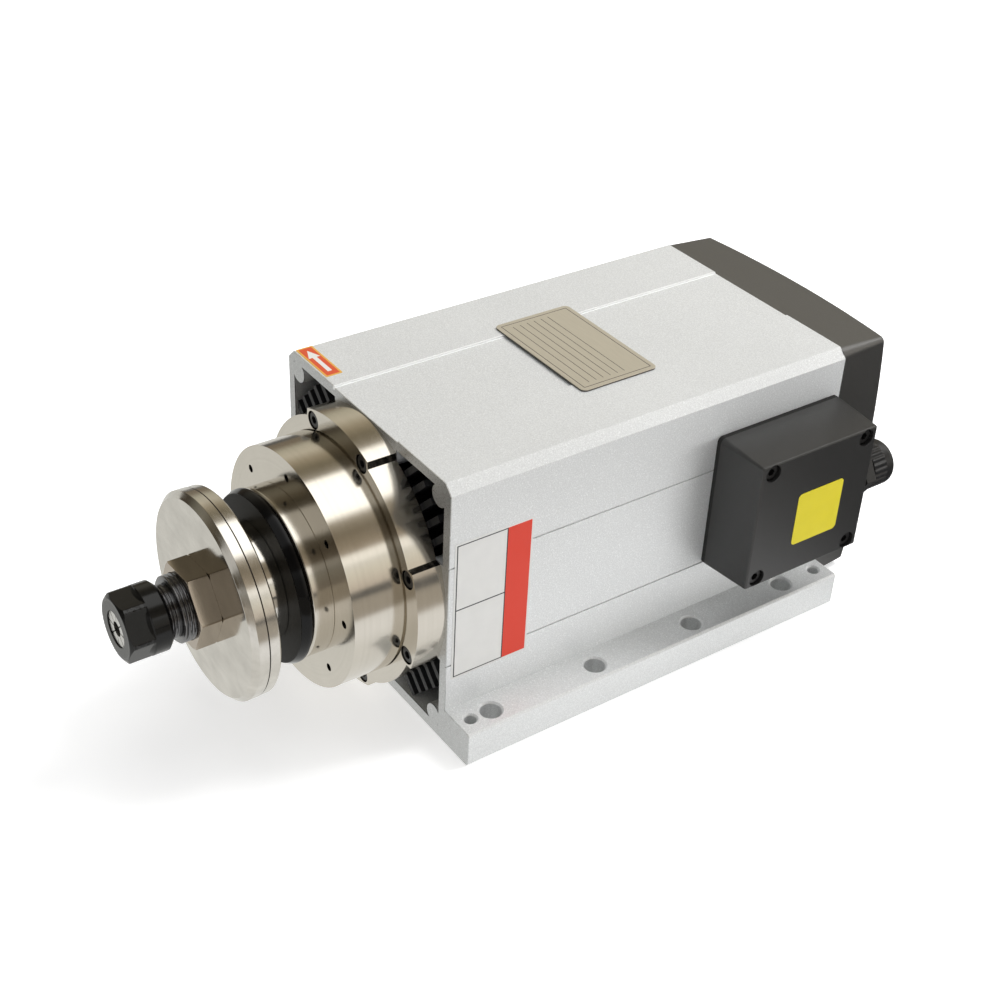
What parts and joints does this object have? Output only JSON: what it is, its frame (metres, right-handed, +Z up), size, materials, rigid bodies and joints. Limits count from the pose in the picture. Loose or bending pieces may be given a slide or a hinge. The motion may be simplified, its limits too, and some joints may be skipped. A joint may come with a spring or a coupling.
{
  "type": "motor spindle",
  "caption": "Air-cooled square motor spindle on foot rails, with a saw-flange arbor, a collet nose, a fan cover and a side terminal box.",
  "frame": {"origin": "centre of the foot bolt pattern, on the underside of the feet", "axes": "+Z up, the spindle axis is along Y with the nose towards -Y, +X towards the terminal box"},
  "size_m": [0.163, 0.3385, 0.1228],
  "materials": {
    "anodised_housing": "satin anodised extrusion",
    "turned_aluminium": "fine turned",
    "turned_steel": "fine turned",
    "shaft_steel": "ground",
    "black_oxide": "black oxide",
    "black_screw": "black oxide",
    "black_casting": "black painted casting",
    "black_ring": "black anodised",
    "black_plastic": "fine texture",
    "black_rubber": "matte",
    "laminations": "stacked sheet",
    "cast_cage": "cast",
    "copper": "varnished",
    "bearing_steel": "polished",
    "cage_plastic": "matte",
    "spring_steel": "satin",
    "terminal_plastic": "matte",
    "brass": "turned",
    "nameplate_metal": "satin"
  },
  "bodies": {
    "stator": {"housing": "anodised_housing", "front_bell": "turned_aluminium", "front_cap": "turned_steel", "flange_screws": "black_screw", "cover_screws": "black_screw", "terminal_cover_screws": "black_screw", "rear_bell_screws": "black_screw", "stator_casing": "black_casting", "rear_bell": "black_casting", "fan_cover": "black_plastic", "terminal_cover": "black_plastic", "gland_body": "black_plastic", "gland_nut": "black_plastic", "gland_locknut": "black_plastic", "terminal_gasket": "black_rubber", "gland_seal": "black_rubber", "stator_core": "laminations", "winding_front": "copper", "winding_rear": "copper", "front_bearing_1_outer": "bearing_steel", "front_bearing_2_outer": "bearing_steel", "rear_bearing_outer": "bearing_steel", "preload_spring": "spring_steel", "terminal_block": "terminal_plastic", "terminal_screws": "brass", "nameplate": "nameplate_metal"},
    "rotor": {"shaft": "shaft_steel", "rotor_core": "laminations", "rotor_ring_front": "cast_cage", "rotor_ring_rear": "cast_cage", "dust_ring": "black_ring", "inner_flange": "turned_steel", "front_bearing_1_inner": "bearing_steel", "front_bearing_2_inner": "bearing_steel", "rear_bearing_inner": "bearing_steel", "rear_circlip": "spring_steel", "fan": "black_plastic", "fan_screw": "black_screw"},
    "loose_flange": {"outer_flange": "turned_steel"},
    "clamp_nut": {"clamp_nut": "turned_steel"},
    "collet": {"collet": "turned_steel"},
    "collet_nut": {"collet_nut": "black_oxide"},
    "front_balls_1": {"front_bearing_1_balls": "bearing_steel", "front_bearing_1_cage": "cage_plastic"},
    "front_balls_2": {"front_bearing_2_balls": "bearing_steel", "front_bearing_2_cage": "cage_plastic"},
    "rear_balls": {"rear_bearing_balls": "bearing_steel", "rear_bearing_cage": "cage_plastic"}
  },
  "joints": [
    {"name": "spindle_turn", "type": "hinge", "parent": "stator", "child": "rotor", "pos_m": [0, 0, 0.062], "axis": [0, 1, 0], "continuous": true},
    {"name": "front_balls_1_turn", "type": "hinge", "parent": "stator", "child": "front_balls_1", "pos_m": [0, -0.118, 0.062], "axis": [0, 1, 0], "continuous": true},
    {"name": "front_balls_2_turn", "type": "hinge", "parent": "stator", "child": "front_balls_2", "pos_m": [0, -0.104, 0.062], "axis": [0, 1, 0], "continuous": true},
    {"name": "rear_balls_turn", "type": "hinge", "parent": "stator", "child": "rear_balls", "pos_m": [0, 0.0875, 0.062], "axis": [0, 1, 0], "continuous": true},
    {"name": "loose_flange_slide", "type": "slide", "parent": "rotor", "child": "loose_flange", "axis": [0, -1, 0], "range_m": [0, 0.0045]},
    {"name": "clamp_nut_turn", "type": "hinge", "parent": "loose_flange", "child": "clamp_nut", "pos_m": [0, -0.17, 0.062], "axis": [0, -1, 0], "range_deg": [0, 1080]},
    {"name": "collet_slide", "type": "slide", "parent": "rotor", "child": "collet", "axis": [0, -1, 0], "range_m": [0, 0.009]},
    {"name": "collet_nut_turn", "type": "hinge", "parent": "collet", "child": "collet_nut", "pos_m": [0, -0.193, 0.062], "axis": [0, -1, 0], "range_deg": [0, 2160]}
  ],
  "couplings": [
    {"joint": "front_balls_1_turn", "follows": "spindle_turn", "ratio": 0.4113},
    {"joint": "front_balls_2_turn", "follows": "spindle_turn", "ratio": 0.4113},
    {"joint": "rear_balls_turn", "follows": "spindle_turn", "ratio": 0.3974},
    {"joint": "clamp_nut_turn", "follows": "loose_flange_slide", "rad_per_m": 4188.8},
    {"joint": "collet_slide", "follows": "collet_nut_turn", "m_per_rad": 0.00023873}
  ]
}
